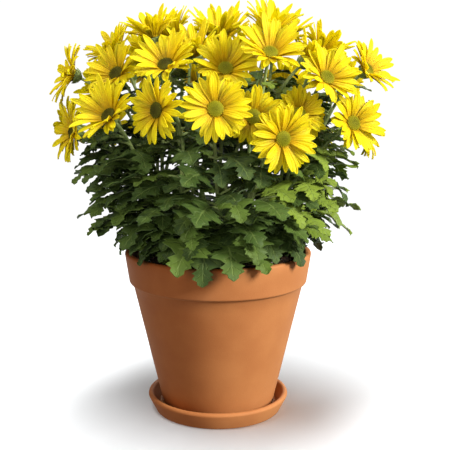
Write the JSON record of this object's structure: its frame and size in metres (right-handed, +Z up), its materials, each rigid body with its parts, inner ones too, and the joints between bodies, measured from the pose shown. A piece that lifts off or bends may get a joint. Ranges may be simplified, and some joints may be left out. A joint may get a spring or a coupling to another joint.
{
  "type": "potted chrysanthemum",
  "caption": "Clay pot on a saucer, filled with potting mix, with a dome of leafy stems that carry yellow daisy-like blooms.",
  "frame": {"origin": "middle of the saucer's flat underside", "axes": "+Z up, -Y towards the front of the plant, +X to its right seen from the front"},
  "size_m": [0.2984, 0.2739, 0.3623],
  "materials": {
    "saucer_clay": "matte fired clay",
    "pot_clay": "matte fired clay",
    "potting_mix": "rough",
    "foliage": "satin",
    "ray_florets": "satin"
  },
  "bodies": {
    "root": {"saucer": "saucer_clay", "pot": "pot_clay", "potting_mix": "potting_mix", "leafy_stem_01": "foliage", "leafy_stem_02": "foliage", "leafy_stem_03": "foliage", "leafy_stem_04": "foliage", "leafy_stem_05": "foliage", "leafy_stem_06": "foliage", "leafy_stem_07": "foliage", "leafy_stem_08": "foliage", "leafy_stem_09": "foliage", "leafy_stem_10": "foliage", "leafy_stem_11": "foliage", "rays_01": "ray_florets", "rays_02": "ray_florets", "rays_03": "ray_florets", "rays_04": "ray_florets", "rays_05": "ray_florets", "rays_06": "ray_florets", "rays_07": "ray_florets", "rays_08": "ray_florets", "rays_09": "ray_florets", "rays_10": "ray_florets", "rays_11": "ray_florets", "rays_12": "ray_florets", "rays_13": "ray_florets", "rays_14": "ray_florets", "rays_15": "ray_florets", "rays_16": "ray_florets", "rays_17": "ray_florets", "rays_18": "ray_florets", "rays_19": "ray_florets", "rays_20": "ray_florets", "rays_21": "ray_florets", "rays_22": "ray_florets", "rays_23": "ray_florets", "rays_24": "ray_florets", "rays_25": "ray_florets", "rays_26": "ray_florets", "rays_27": "ray_florets", "rays_28": "ray_florets", "rays_29": "ray_florets", "rays_30": "ray_florets", "rays_31": "ray_florets", "rays_32": "ray_florets", "rays_33": "ray_florets", "rays_34": "ray_florets", "rays_35": "ray_florets", "rays_36": "ray_florets", "rays_37": "ray_florets", "rays_38": "ray_florets", "rays_39": "ray_florets", "rays_40": "ray_florets", "rays_41": "ray_florets", "rays_42": "ray_florets", "rays_43": "ray_florets", "rays_44": "ray_florets"}
  },
  "joints": []
}
